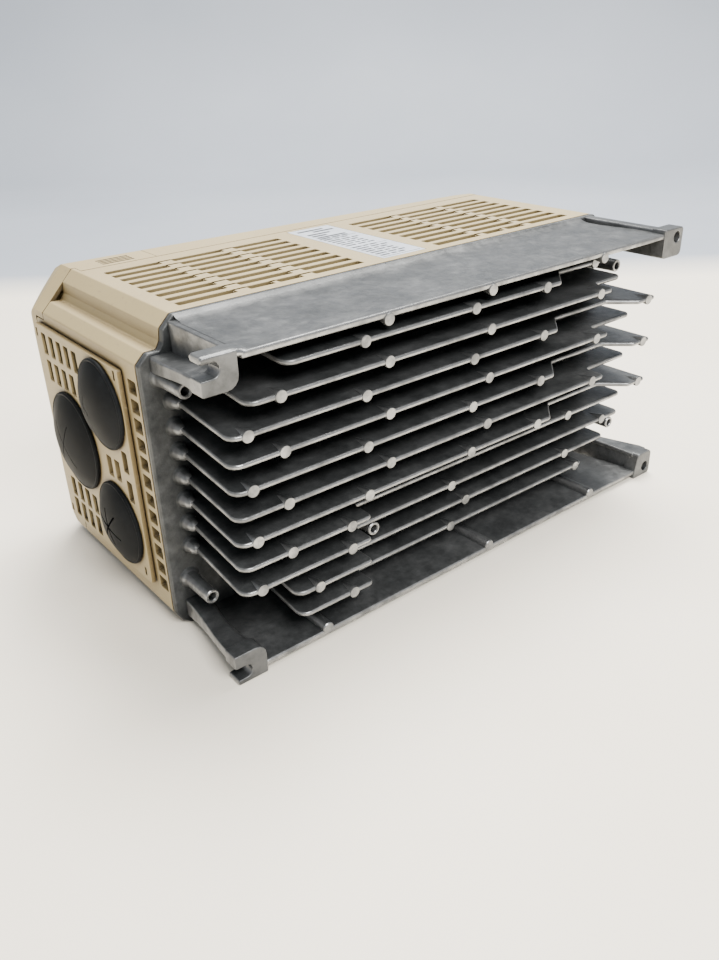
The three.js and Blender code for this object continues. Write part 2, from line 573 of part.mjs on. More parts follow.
const drive = new THREE.Group();
drive.add(
  heatSink(), caseShell(), nameplate(), entryPlate(), ...grommets.map(grommet),
  frontCover(), terminalCover(),
  powerModule(), rectifierModule(), powerBoard(),
  ...boardPosts.map(boardPost), ...boardPosts.map(boardPillar), ...boardPosts.map(boardScrew),
  ...range(4).map(capacitor), ...range(2).map(currentSensor),
  chargeRelay(), transformer(),
  mainTerminalBlock(), ...range(TERMINALS).map(terminalScrew), ...range(2).map(groundScrew),
  controlBoard(), controlTerminals(), operatorSocket(), chargeLamp(),
  operatorCase(), operatorDisplay(), operatorLatch(), ...keys.map(key),
);
drive.position.set(-(DOME_X + LENGTH) / 2, -DEPTH / 2, 0);

const part = new THREE.Group();
part.add(drive);

export default part;
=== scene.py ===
"""Looks of a wall-mounting variable frequency drive that lies on its side.

Sizes are in millimetres in the drive's own coordinates: x runs from the cable end, y from the mounting
plane to the front cover, and z across the width. PLACE turns them into metres in the shared frame.
"""

import json
import math

import bmesh
import bpy
from mathutils import Matrix, Vector


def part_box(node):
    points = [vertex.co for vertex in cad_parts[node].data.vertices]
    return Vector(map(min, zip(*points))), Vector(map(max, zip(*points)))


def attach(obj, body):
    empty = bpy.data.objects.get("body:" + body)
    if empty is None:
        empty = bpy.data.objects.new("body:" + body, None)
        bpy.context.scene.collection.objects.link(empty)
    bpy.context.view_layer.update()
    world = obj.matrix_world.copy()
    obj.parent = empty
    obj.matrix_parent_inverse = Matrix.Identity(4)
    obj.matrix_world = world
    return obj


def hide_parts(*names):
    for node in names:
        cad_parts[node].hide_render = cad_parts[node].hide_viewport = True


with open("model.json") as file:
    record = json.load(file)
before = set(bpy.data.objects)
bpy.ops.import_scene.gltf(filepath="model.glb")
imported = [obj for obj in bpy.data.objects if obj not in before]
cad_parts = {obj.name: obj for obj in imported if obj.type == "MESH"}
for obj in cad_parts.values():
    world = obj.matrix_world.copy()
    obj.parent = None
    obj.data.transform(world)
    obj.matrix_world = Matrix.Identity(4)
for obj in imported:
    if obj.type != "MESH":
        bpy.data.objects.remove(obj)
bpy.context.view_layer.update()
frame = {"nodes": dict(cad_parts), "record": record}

# Driving dimensions, as in the CAD part
LENGTH = 280
WIDTH = 140
FLANGE_REAR = 50
FLANGE_FRONT = 53
CASE_REAR = 53.3
SPLIT = 138.5
RIM = 138.8
FRONT = 172
CASE_END = 278
WALL = 2.6
SEAM = 57
ROOT = FLANGE_REAR + 0.6
FIN_TIP = 0.6
STEP = 12.5
FIN_PITCH = 11.14
FIN_TOP = 128.7
FIN_THICKNESS = 2.2
FOOT_HEIGHT = 14.5
FOOT_DEPTH = 8
SLOT_Z = 5.4
BOLT_RADIUS = 3
DOME = -9

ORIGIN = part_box("heat_sink")[0]
PLACE = Matrix.Translation(ORIGIN) @ Matrix.Scale(0.001, 4)
# Depth up to which the casting's rub wear and painted highlight reach
Y_OF_WEAR_AND_HIGHLIGHT = ORIGIN.y + 0.0492
SCENE = bpy.context.scene.collection


# ---------------------------------------------------------------- mesh tools

def rounded(corners, steps=4):
    """Corners are (a, b) or (a, b, radius). A rounded corner becomes an arc that touches both sides."""
    points = []
    for i, corner in enumerate(corners):
        here = Vector(corner[:2])
        if len(corner) == 2:
            points.append(here)
            continue
        back = (Vector(corners[i - 1][:2]) - here).normalized()
        on = (Vector(corners[(i + 1) % len(corners)][:2]) - here).normalized()
        half = math.acos(max(-1, min(1, back.dot(on)))) / 2
        radius = corner[2]
        centre = here + (back + on).normalized() * (radius / math.sin(half))
        start = here + back * (radius / math.tan(half)) - centre
        end = here + on * (radius / math.tan(half)) - centre
        turn = start.angle_signed(end)
        for k in range(steps + 1):
            points.append(centre + Matrix.Rotation(-turn * k / steps, 2) @ start)
    return points


def rectangle(low_a, high_a, low_b, high_b, radius=0):
    corners = [(low_a, low_b), (high_a, low_b), (high_a, high_b), (low_a, high_b)]
    return [c + (radius,) for c in corners] if radius else corners


def circle(a, b, radius, sides=24):
    turns = [2 * math.pi * k / sides for k in range(sides)]
    return [(a + radius * math.cos(t), b + radius * math.sin(t)) for t in turns]


def new_object(name, mesh):
    obj = bpy.data.objects.new(name, mesh)
    SCENE.objects.link(obj)
    return obj


def from_bmesh(name, bm):
    bmesh.ops.recalc_face_normals(bm, faces=bm.faces)
    mesh = bpy.data.meshes.new(name)
    bm.to_mesh(mesh)
    bm.free()
    return new_object(name, mesh)


def evaluated_mesh(obj):
    bpy.context.view_layer.update()
    return bpy.data.meshes.new_from_object(obj.evaluated_get(bpy.context.evaluated_depsgraph_get()))


AXES = {
    "z": Matrix(((1, 0, 0, 0), (0, 1, 0, 0), (0, 0, 1, 0), (0, 0, 0, 1))),
    "y": Matrix(((1, 0, 0, 0), (0, 0, 1, 0), (0, 1, 0, 0), (0, 0, 0, 1))),
    "x": Matrix(((0, 0, 1, 0), (1, 0, 0, 0), (0, 1, 0, 0), (0, 0, 0, 1))),
}


def slab(axis, levels, outline, holes=(), edge=0.4, steps=2):
    """A flat solid with rounded edges, extruded along an axis between two levels, with holes."""
    low, high = levels
    curve = bpy.data.curves.new("slab", "CURVE")
    curve.dimensions = "2D"
    curve.fill_mode = "BOTH"
    curve.extrude = (high - low) / 2 - edge
    curve.bevel_depth = edge
    curve.bevel_resolution = steps
    curve.offset = -edge
    for loop in (outline, *holes):
        spline = curve.splines.new("POLY")
        points = rounded(loop)
        spline.points.add(len(points) - 1)
        for point, (a, b) in zip(spline.points, points):
            point.co = (a, b, 0, 1)
        spline.use_cyclic_u = True
    source = new_object("slab", curve)
    mesh = evaluated_mesh(source)
    bpy.data.objects.remove(source)
    bm = bmesh.new()
    bm.from_mesh(mesh)
    bpy.data.meshes.remove(mesh)
    bmesh.ops.remove_doubles(bm, verts=bm.verts, dist=1e-4)
    bmesh.ops.translate(bm, verts=bm.verts, vec=(0, 0, (low + high) / 2))
    bmesh.ops.transform(bm, verts=bm.verts, matrix=AXES[axis])
    return from_bmesh("slab", bm)


def box(xs, ys, zs):
    bm = bmesh.new()
    bmesh.ops.create_cube(bm, size=1)
    for vertex in bm.verts:
        for axis, (low, high) in enumerate((xs, ys, zs)):
            vertex.co[axis] = low if vertex.co[axis] < 0 else high
    return from_bmesh("box", bm)


def loft(rings):
    """A closed solid through rings of equally many points."""
    bm = bmesh.new()
    loops = [[bm.verts.new(p) for p in ring] for ring in rings]
    for one, other in zip(loops, loops[1:]):
        for k in range(len(one)):
            bm.faces.new((one[k - 1], one[k], other[k], other[k - 1]))
    bm.faces.new(loops[0])
    bm.faces.new(reversed(loops[-1]))
    return from_bmesh("loft", bm)


def turned(axis, centre, profile, sides=24):
    """A turned solid from a (radius, level) profile that starts and ends on the axis."""
    bm = bmesh.new()
    rings = []
    for radius, level in profile:
        if radius == 0:
            rings.append([bm.verts.new((0, 0, level))])
            continue
        turns = [2 * math.pi * k / sides for k in range(sides)]
        rings.append([bm.verts.new((radius * math.cos(t), radius * math.sin(t), level)) for t in turns])
    for one, other in zip(rings, rings[1:]):
        for k in range(sides):
            face = [one[k - 1], one[k]] if len(one) > 1 else [one[0]]
            face += [other[k], other[k - 1]] if len(other) > 1 else [other[0]]
            bm.faces.new(face)
    bmesh.ops.translate(bm, verts=bm.verts, vec=(*centre, 0))
    bmesh.ops.transform(bm, verts=bm.verts, matrix=AXES[axis])
    return from_bmesh("turned", bm)


def merged(*objects):
    """Disjoint solids as one object."""
    bm = bmesh.new()
    for obj in objects:
        bm.from_mesh(obj.data)
        bpy.data.objects.remove(obj)
    return from_bmesh("merged", bm)


def combine(target, operation, *tools):
    for tool in tools:
        modifier = target.modifiers.new("combine", "BOOLEAN")
        modifier.operation = operation
        modifier.solver = "MANIFOLD"
        modifier.object = tool
        mesh = evaluated_mesh(target)
        target.modifiers.clear()
        target.data = mesh
        bpy.data.objects.remove(tool)
    return target


def union(*objects):
    return combine(objects[0], "UNION", *objects[1:])


def cut(target, *tools):
    return combine(target, "DIFFERENCE", *tools)


def shade(obj, angle=35):
    """Smooth shading between sharp edges, with flat faces kept flat."""
    obj.data.shade_smooth()
    obj.data.set_sharp_from_angle(angle=math.radians(angle))
    modifier = obj.modifiers.new("weighted", "WEIGHTED_NORMAL")
    modifier.keep_sharp = True


def piece(name, obj, material, body, slot, *nodes):
    """Moves a finished solid into the frame, where it rides on a body and stands for CAD nodes."""
    obj.name = name
    obj.data.name = name
    obj.data.transform(PLACE)
    obj.data.materials.clear()
    obj.data.materials.append(material)
    shade(obj)
    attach(obj, body)
    if nodes:
        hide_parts(*nodes)
    return obj


# ---------------------------------------------------------------- materials

class Shader:
    """A Principled material whose nodes are added by name."""

    def __init__(self, name, **values):
        self.material = bpy.data.materials.new(name)
        self.material.use_nodes = True
        self.tree = self.material.node_tree
        self.surface = self.tree.nodes["Principled BSDF"]
        for key, value in values.items():
            self.surface.inputs[key.replace("_", " ")].default_value = value
        coordinates = self.tree.nodes.new("ShaderNodeTexCoord")
        self.place = coordinates.outputs["Object"]
        self.normal = coordinates.outputs["Normal"]

    def link(self, source, target):
        self.tree.links.new(source, target)

    def noise(self, scale, detail=3.0, roughness=0.5, stretch=None):
        node = self.tree.nodes.new("ShaderNodeTexNoise")
        node.inputs["Scale"].default_value = scale
        node.inputs["Detail"].default_value = detail
        node.inputs["Roughness"].default_value = roughness
        if stretch:
            mapping = self.tree.nodes.new("ShaderNodeMapping")
            mapping.inputs["Scale"].default_value = stretch
            self.link(self.place, mapping.inputs["Vector"])
            self.link(mapping.outputs["Vector"], node.inputs["Vector"])
        else:
            self.link(self.place, node.inputs["Vector"])
        return node.outputs["Fac"]

    def ramp(self, source, *stops):
        node = self.tree.nodes.new("ShaderNodeValToRGB")
        elements = node.color_ramp.elements
        while len(elements) < len(stops):
            elements.new(0.5)
        for element, (position, color) in zip(elements, stops):
            element.position = position
            element.color = (*color, 1)
        self.link(source, node.inputs["Fac"])
        return node.outputs["Color"]

    def span(self, source, low, high, start=0.0, stop=1.0):
        node = self.tree.nodes.new("ShaderNodeMapRange")
        node.inputs["From Min"].default_value = start
        node.inputs["From Max"].default_value = stop
        node.inputs["To Min"].default_value = low
        node.inputs["To Max"].default_value = high
        self.link(source, node.inputs["Value"])
        return node.outputs["Result"]

    def mix(self, factor, one, other, blend="MIX"):
        node = self.tree.nodes.new("ShaderNodeMix")
        node.data_type = "RGBA"
        node.blend_type = blend
        for name, value in (("Factor", factor), ("A", one), ("B", other)):
            socket = next(s for s in node.inputs if s.name == name and s.enabled)
            if isinstance(value, bpy.types.NodeSocket):
                self.link(value, socket)
            else:
                socket.default_value = value
        return next(s for s in node.outputs if s.enabled)

    def math(self, operation, one, other):
        node = self.tree.nodes.new("ShaderNodeMath")
        node.operation = operation
        self.link(one, node.inputs[0])
        self.link(other, node.inputs[1])
        return node.outputs["Value"]

    def split(self, vector):
        node = self.tree.nodes.new("ShaderNodeSeparateXYZ")
        self.link(vector, node.inputs["Vector"])
        return node.outputs

    def occlusion(self, distance):
        node = self.tree.nodes.new("ShaderNodeAmbientOcclusion")
        node.samples = 6
        node.inputs["Distance"].default_value = distance
        return node.outputs["AO"]

    def bump(self, height, strength, distance, below=None):
        node = self.tree.nodes.new("ShaderNodeBump")
        node.inputs["Strength"].default_value = strength
        node.inputs["Distance"].default_value = distance
        self.link(height, node.inputs["Height"])
        if below:
            self.link(below, node.inputs["Normal"])
        self.link(node.outputs["Normal"], self.surface.inputs["Normal"])
        return node.outputs["Normal"]

    def color(self, source):
        self.link(source, self.surface.inputs["Base Color"])

    def roughness(self, source):
        self.link(source, self.surface.inputs["Roughness"])


def cast_aluminium():
    """Mottled die casting with painted shade in its recesses, rub wear on faces towards the wall, and a
    painted highlight on those and on faces towards the cable end.
    """
    s = Shader("cast_aluminium", IOR=1.5, Specular_IOR_Level=0.12)
    blotches = s.noise(45, 5, 0.62)
    stains = s.noise(190, 5, 0.7)
    shadow, middle, light = (0.05, 0.053, 0.054), (0.08, 0.083, 0.084), (0.12, 0.123, 0.124)
    base = s.ramp(blotches, (0.3, shadow), (0.52, middle), (0.72, light))
    mottled = s.ramp(stains, (0.36, (0.6, 0.6, 0.61)), (0.56, (1, 1, 1)), (0.72, (1.4, 1.4, 1.4)))
    cast = s.mix(0.7, base, mottled, "MULTIPLY")
    # Painted shade: an occlusion mask darkens the casting's recesses and the gaps between fins towards
    # dark blue-grey.
    painted_recess_shade = s.ramp(s.occlusion(0.014), (0.15, (0.2, 0.23, 0.235)), (0.7, (1, 1, 1)))
    cast_with_painted_shade = s.mix(1.0, cast, painted_recess_shade, "MULTIPLY")
    normal_x, normal_y, _ = s.split(s.normal)
    _, place_y, _ = s.split(s.place)
    # Wear and painted highlight: faces towards the wall get rub wear plus a painted highlight, faces
    # towards the cable end get only a painted highlight.
    behind = s.span(place_y, 1, 0, Y_OF_WEAR_AND_HIGHLIGHT - 0.001, Y_OF_WEAR_AND_HIGHLIGHT)
    wall_wear_and_highlight = s.span(normal_y, 1, 0, -0.85, -0.3)
    painted_end_highlight = s.span(normal_x, 0.7, 0, -0.9, -0.35)
    wear_and_highlight_sides = s.math("MAXIMUM", wall_wear_and_highlight, painted_end_highlight)
    patchy = s.span(s.noise(110, 4, 0.6), 0.35, 1, 0.36, 0.6)
    off_feet = s.span(place_y, 0.25, 1, ORIGIN.y + 0.0001, ORIGIN.y + 0.00022)
    exposed = s.math("MULTIPLY", behind, off_feet)
    wear_and_highlight = s.math("MULTIPLY", s.math("MULTIPLY", exposed, wear_and_highlight_sides), patchy)
    s.color(s.mix(wear_and_highlight, cast_with_painted_shade, (0.36, 0.364, 0.368, 1)))
    s.link(s.span(wear_and_highlight, 0.5, 0.95), s.surface.inputs["Metallic"])
    dull = s.span(stains, 0.32, 0.5, 0.3, 0.7)
    s.roughness(s.mix(wear_and_highlight, dull, (0.26, 0.26, 0.26, 1)))
    skin = s.bump(s.noise(1500, 2, 0.5), 0.25, 0.0002)
    s.bump(s.noise(280, 3, 0.55), 0.3, 0.0006, skin)
    return s.material


def ivory_plastic():
    """Yellowed ivory plastic with painted brown shade in its recesses and scuffs round the cable end."""
    s = Shader("ivory_plastic", IOR=1.48)
    tone = s.noise(14, 3, 0.5)
    base = s.ramp(tone, (0.3, (0.355, 0.28, 0.145)), (0.7, (0.395, 0.315, 0.165)))
    # Painted shade: an occlusion mask darkens recesses and slot walls towards dark brown.
    deep_shade, shallow_shade = (0.05, 0.043, 0.03), (0.36, 0.31, 0.22)
    painted_recess_shade = s.ramp(s.occlusion(0.009), (0.42, deep_shade), (0.68, shallow_shade), (0.92, (1, 1, 1)))
    base_with_painted_shade = s.mix(1.0, base, painted_recess_shade, "MULTIPLY")
    place_x, _, _ = s.split(s.place)
    cable_end = s.span(place_x, 1, 0, ORIGIN.x + 0.02, ORIGIN.x + 0.085)
    scuffs = s.span(s.noise(420, 6, 0.75, (0.6, 1, 1)), 0, 0.8, 0.59, 0.68)
    specks = s.span(s.noise(900, 4, 0.7), 0, 0.5, 0.66, 0.76)
    marks = s.math("MAXIMUM", s.math("MULTIPLY", scuffs, cable_end), specks)
    s.color(s.mix(marks, base_with_painted_shade, (0.23, 0.18, 0.115, 1)))
    s.roughness(s.span(s.noise(90, 3), 0.42, 0.56))
    s.bump(s.noise(2600, 2, 0.6), 0.25, 0.00006)
    return s.material


def rubber():
    s = Shader("rubber", IOR=1.4, Specular_IOR_Level=0.12)
    bloom = s.noise(70, 4, 0.6)
    s.color(s.ramp(bloom, (0.35, (0.004, 0.0046, 0.0052)), (0.7, (0.012, 0.0132, 0.0144))))
    s.roughness(s.span(bloom, 0.5, 0.68, 0.3, 0.7))
    s.bump(s.noise(800, 3, 0.6), 0.15, 0.0001)
    return s.material


def moulded(name, color, low=0.38, high=0.55, texture=2200):
    s = Shader(name, IOR=1.48)
    tone = s.noise(60, 3)
    darker = tuple(0.82 * c for c in color)
    s.color(s.ramp(tone, (0.3, darker), (0.7, color)))
    s.roughness(s.span(tone, low, high))
    s.bump(s.noise(texture, 2), 0.2, 0.00006)
    return s.material


def metal(name, color, low, high):
    s = Shader(name, Metallic=1.0)
    lines = s.noise(700, 4, 0.6)
    darker = tuple(0.75 * c for c in color)
    s.color(s.ramp(lines, (0.3, darker), (0.7, color)))
    s.roughness(s.span(lines, low, high, 0.3, 0.7))
    s.bump(lines, 0.1, 0.00005)
    return s.material


def solder_mask():
    s = Shader("solder_mask", IOR=1.5)
    tracks = s.noise(330, 1, 0.3, (1, 1, 6))
    s.color(s.ramp(tracks, (0.46, (0.008, 0.07, 0.03)), (0.5, (0.02, 0.13, 0.06))))
    s.roughness(s.span(s.noise(120), 0.25, 0.4))
    s.bump(tracks, 0.15, 0.0001)
    return s.material


def backdrop():
    """Warm white floor that turns pale blue-grey beyond the drive."""
    s = Shader("backdrop", IOR=1.4)
    away = s.tree.nodes.new("ShaderNodeVectorMath")
    away.operation = "DOT_PRODUCT"
    away.inputs[1].default_value = AWAY
    s.link(s.place, away.inputs[0])
    floor = s.ramp(s.noise(6, 4), (0.35, (0.9, 0.83, 0.7)), (0.65, (0.925, 0.86, 0.74)))
    wall = s.ramp(s.noise(3, 3), (0.35, (0.33, 0.36, 0.41)), (0.65, (0.36, 0.39, 0.44)))
    s.color(s.mix(s.span(away.outputs["Value"], 0, 1, 0.43, 0.52), floor, wall))
    s.roughness(s.span(s.noise(40, 4), 0.5, 0.62))
    return s.material


ALUMINIUM = cast_aluminium()
IVORY = ivory_plastic()
RUBBER = rubber()
LABEL = moulded("label_film", (0.52, 0.555, 0.61), 0.3, 0.45)
LABEL_INK = moulded("label_ink", (0.03, 0.033, 0.04), 0.4, 0.5)
DARK = moulded("dark_plastic", (0.06, 0.065, 0.075))
BLACK = moulded("black_plastic", (0.02, 0.02, 0.022))
GREY = moulded("grey_plastic", (0.42, 0.44, 0.47))
RED = moulded("red_plastic", (0.45, 0.04, 0.03))
GREEN = moulded("green_plastic", (0.04, 0.24, 0.10))
SLEEVE = moulded("capacitor_sleeve", (0.02, 0.035, 0.09), 0.2, 0.32)
BRASS = metal("brass", (0.62, 0.46, 0.20), 0.25, 0.4)
STEEL = metal("steel", (0.56, 0.57, 0.59), 0.25, 0.42)
BOARD = solder_mask()
DISPLAY = moulded("display_window", (0.018, 0.03, 0.026), 0.06, 0.12, 300)

SLOT_MATERIALS = {
    "cast_aluminium": ALUMINIUM, "ivory_plastic": IVORY, "label_foil": LABEL, "rubber": RUBBER,
    "dark_plastic": DARK, "black_plastic": BLACK, "grey_plastic": GREY, "red_plastic": RED,
    "green_plastic": GREEN, "display_window": DISPLAY, "circuit_board": BOARD, "brass": BRASS,
    "steel": STEEL, "capacitor_sleeve": SLEEVE,
}


def paint_cad_nodes():
    slots = {s["node"]: s["material_slot"] for s in frame["record"]["subparts"]}
    for name, obj in frame["nodes"].items():
        obj.data.materials.clear()
        obj.data.materials.append(SLOT_MATERIALS[slots[name]])
        obj.data.shade_smooth()
        obj.data.set_sharp_from_angle(angle=math.radians(32))
        if name == "operator_case" or name.endswith(("_key", "_latch", "module", "relay", "transformer")):
            bevel = obj.modifiers.new("edges", "BEVEL")
            bevel.width = 0.0004
            bevel.segments = 2
            bevel.limit_method = "ANGLE"
            bevel.angle_limit = math.radians(50)
            bevel.harden_normals = True


# ---------------------------------------------------------------- heat sink

DRIVE_OUTLINE = [
    (0.5, 8, 2), (3.5, 2.8, 1.5), (8, 0, 2), (273, 0, 2), (CASE_END, 5, 2), (CASE_END, 135, 2),
    (273, WIDTH, 2), (17.5, WIDTH, 1.2), (12.4, 135, 1), (11.8, 130.3, 1), (10, 127.3, 1.2),
    (5, 127.3, 1.5), (0.5, 123, 1.5),
]
CAVITY_OUTLINE = [
    (3.1, 9.6), (4.8, 5.6), (9, WALL), (271.9, WALL), (CASE_END - WALL, 6.1), (CASE_END - WALL, 133.9),
    (271.9, WIDTH - WALL), (19, WIDTH - WALL), (15, 133.4), (14.4, 124.4), (6.2, 124.4), (3.1, 121.6),
]


def cut_back(x):
    return [(x, FIN_TIP, 2.5), (x, STEP, 3)]


RAMP = [(186.5, FIN_TIP, 3), (199, STEP, 3)]
WING = RAMP + [(238, STEP, 3), (250, FIN_TIP, 3), (263.5, FIN_TIP, 1.5)]
SHORT_TAIL = [(73, FIN_TIP, 2.5), (73, STEP, 1)]

# Where each fin starts, its rear edge beyond that corner, where it ends, and its ejector pads
FINS = [
    (34, RAMP, 236, (71.6, 131.7, 176.9), (226.5,)),
    (17, cut_back(227), 249, (31.7, 83.6, 141.5, 217.2), ()),
    (8.5, WING, 263.5, (16.4, 71.6, 131.7, 176.9, 257.8), ()),
    (8, cut_back(227), 261, (31.7, 83.6, 141.5, 217.2), ()),
    (8, WING, 263.5, (16.4, 71.6, 131.7, 176.9, 257.8), ()),
    (8, cut_back(227), 261, (31.7, 83.6, 141.5, 217.2), ()),
    (8, WING, 263.5, (16.4, 71.6, 131.7, 176.9, 257.8), ()),
    (8, SHORT_TAIL, 261, (31.7, 61.8), (216.1,)),
    (7.5, SHORT_TAIL, 261, (16.4, 61.8), (131.5, 246)),
    (32, SHORT_TAIL, 249.5, (43.9,), (141.3, 216.1)),
    (33.5, SHORT_TAIL, 232.6, (61.8,), (131.5, 226.5)),
]
ROOT_FILLET = 1.9


def swell(obj, z):
    """Thickens a fin towards its root, with a fillet where it meets the flange."""
    bm = bmesh.new()
    bm.from_mesh(obj.data)
    for level in (8, 20, 34, 44, 47.2, 48.2, 48.9, 49.4, 49.8):
        everything = bm.verts[:] + bm.edges[:] + bm.faces[:]
        bmesh.ops.bisect_plane(bm, geom=everything, plane_co=(0, level, 0), plane_no=(0, 1, 0))
    half = FIN_THICKNESS / 2
    for vertex in bm.verts:
        depth = max(0, FLANGE_REAR + 0.2 - vertex.co.y)
        near = max(0, ROOT_FILLET - depth)
        fillet = ROOT_FILLET - math.sqrt(ROOT_FILLET ** 2 - min(near, ROOT_FILLET) ** 2)
        draft = 0.3 * vertex.co.y / FLANGE_REAR
        vertex.co.z = z + (vertex.co.z - z) * (half + draft + fillet) / half
    bm.to_mesh(obj.data)
    bm.free()


def pad(x, z, level):
    """An ejector pad that tapers into its fin, with its face at a level."""
    steps = [(0, 0), (2.2, 0), (2.45, 0.12), (2.6, 0.4), (2.6, 1.6), (2.25, 3.4), (1.75, 6), (1.3, 9),
             (0.7, 10.5), (0, 10.8)]
    return turned("y", (x, z), [(radius, level + depth) for radius, depth in steps])


def knuckle(x, z):
    """The rounded swelling at the foot of a fin's near end."""
    profile = [(0, 43), (1.5, 43.4), (2.4, 44.6), (2.9, 46.4), (3.3, 48.4), (4, 49.6), (4.6, ROOT),
               (0, ROOT)]
    return turned("y", (x, z), profile)


def fin(index):
    start, rear, end, pads, low_pads = FINS[index]
    z = FIN_TOP - FIN_PITCH * index
    tail = [] if rear[-1][1] == FIN_TIP else [(end, STEP, 3)]
    outline = [(start + 0.8, ROOT), (start + 3.8, 47.6, 2.5), (start, FIN_TIP, 5), *rear, *tail,
               (end, 47.6, 2), (end + 2.4, ROOT)]
    plate = slab("z", (z - FIN_THICKNESS / 2, z + FIN_THICKNESS / 2), outline, edge=0.95)
    swell(plate, z)
    posts = [pad(x, z, 0.25) for x in pads] + [pad(x, z, STEP - 0.35) for x in low_pads]
    return union(plate, merged(*posts, knuckle(start + 4.2, z)))


def screw_boss(x, z, rear):
    """A hollow screw boss that stands on the flange, with its open end at the level rear."""
    hole = [(0, rear + 16), (1.8, rear + 16), (1.8, rear + 0.5), (2.2, rear)]
    barrel = [(2.9, rear), (3.25, rear + 0.4), (3.4, 46.5), (3.8, 48.4), (5.2, ROOT), (0, ROOT)]
    return turned("y", (x, z), hole + barrel)


def flip(points):
    """The same outline on the other side of the drive's width."""
    return [(p[0], WIDTH - p[1], *p[2:]) for p in reversed(points)]


def near_foot(upper):
    """A C-shaped foot whose fixing slot opens towards the cable end."""
    low, high = SLOT_Z - BOLT_RADIUS, SLOT_Z + BOLT_RADIUS
    edge = 0.5 if upper else 0
    outline = [
        (15, edge, 0.6), (15, FOOT_HEIGHT, 5), (0, FOOT_HEIGHT, 0.8), (0, high, 0.6),
        (7.7, high, 2.9), (7.7, low, 2.9), (0.8, low, 0.9), (0.8, edge, 0.9),
    ]
    return slab("y", (0, FOOT_DEPTH), flip(outline) if upper else outline, edge=0.55)


def far_foot(upper):
    """A square foot with a round fixing hole."""
    inner = 264.5 if upper else 268
    outline = [
        (min(inner, 265.5), 0, 0.6), (LENGTH, 0, 2), (LENGTH, FOOT_HEIGHT, 2.5), (inner, FOOT_HEIGHT, 2),
    ]
    hole = circle(275, SLOT_Z - (0.7 if upper else 0), 2.7)
    if upper:
        outline, hole = flip(outline), flip(hole)
    return slab("y", (0, FOOT_DEPTH), outline, [hole], edge=0.55)


def arm(upper):
    """The curved arm from a near foot to the collar, as rounded sections along y."""
    foot_z = (8.9, FOOT_HEIGHT - 0.3)
    root_z = (14, 20.5) if upper else (4.5, 13.5)
    start_y = FOOT_DEPTH - 1.5
    rings = []
    for k in range(15):
        t = k / 14
        ease = t * t * (3 - 2 * t)
        y = start_y + (ROOT - start_y) * t
        dip = math.sin(math.pi * t)
        x0 = 0.4 + 5 * ease + 0.8 * dip
        x1 = 14.1 + 2.3 * ease - (0 if upper else 1.5 * dip)
        z0 = foot_z[0] + (root_z[0] - foot_z[0]) * ease + (0.5 if upper else 0) * dip
        z1 = foot_z[1] + (root_z[1] - foot_z[1]) * ease - (0 if upper else 1.6 * dip)
        outer_radius = 5.2 - 3 * ease
        section = rounded([(x0, z0, 1.2), (x1, z0, 1.2), (x1, z1, outer_radius), (x0, z1, 0.8)])
        rings.append([Vector((a, y, WIDTH - b if upper else b)) for a, b in section])
    return loft(rings)


def far_shelf(upper):
    """The shelf beside a far foot's screw, tapering from the foot to the flange."""
    end = LENGTH - 0.3
    outline = [(267, 4), (end, 4), (end, FOOT_DEPTH, 1), (273, 30, 6), (271, ROOT), (266, ROOT)]
    low, high = 11.7, FOOT_HEIGHT - 0.1
    return slab("z", (WIDTH - high, WIDTH - low) if upper else (low, high), outline, edge=0.9)


def rod():
    """The upper near foot's rounded prong, which runs out into the web's rear edge."""
    rings = []
    for x, low, high, depth in ((0.6, 137.9, 138.7, 4), (0.8, 137.2, 139.4, 7), (1.6, 136.7, 139.9, 8),
                                (13, 136.6, 139.95, 8.2), (16, 136.4, 139.5, 8), (20, 135.8, 138.3, 6)):
        middle, half = 4.3, depth / 2
        radius = min(half, (high - low) / 2) * 0.95
        section = rounded(rectangle(max(0.1, middle - half), middle + half, low, high, radius))
        rings.append([Vector((x, y, z)) for y, z in section])
    return loft(rings)


def web(upper):
    """The side web between a near foot and a far foot."""
    start = 17 if upper else 12.2
    outline = [(start, ROOT), (start, 0.8, 0.8), (269, 0.8), (267.4, 5.5, 1.5), (262, 37, 4), (262, ROOT)]
    levels = (135.2, 138) if upper else (2, 4.8)
    return slab("z", levels, outline, edge=0.9)


def pocket_wall(upper):
    """The wall that joins a web's near end to the flange, beside the arm."""
    if upper:
        outline = [(6.5, 126.8), (ROOT, 120), (ROOT, 137.8), (6.5, 137.8)]
    else:
        outline = [(9, 2.2), (ROOT, 2.2), (ROOT, 6), (9, 3.4)]
    return slab("x", (15, 17.6), outline, edge=0.6)


def far_gusset(upper):
    """The upright wall between a far foot and the flange."""
    levels = (125.6, 139.6) if upper else (0.4, 14.4)
    return slab("x", (265 if upper else 267.2, 271.3), rectangle(FOOT_DEPTH - 3, ROOT, *levels), edge=0.9)


def web_fillet(upper):
    """The small radius between the flange and a web's outer face."""
    arc = [(50.3, 137.8), (50.3, 139.7), (49.7, 139.4), (48.8, 138.95), (47.4, 138.5), (45.6, 138.15),
           (43.5, 137.95), (43.5, 137.8)]
    outline = arc if upper else [(y, WIDTH - z) for y, z in arc]
    return loft([[Vector((x, y, z)) for y, z in outline] for x in (18, 261)])


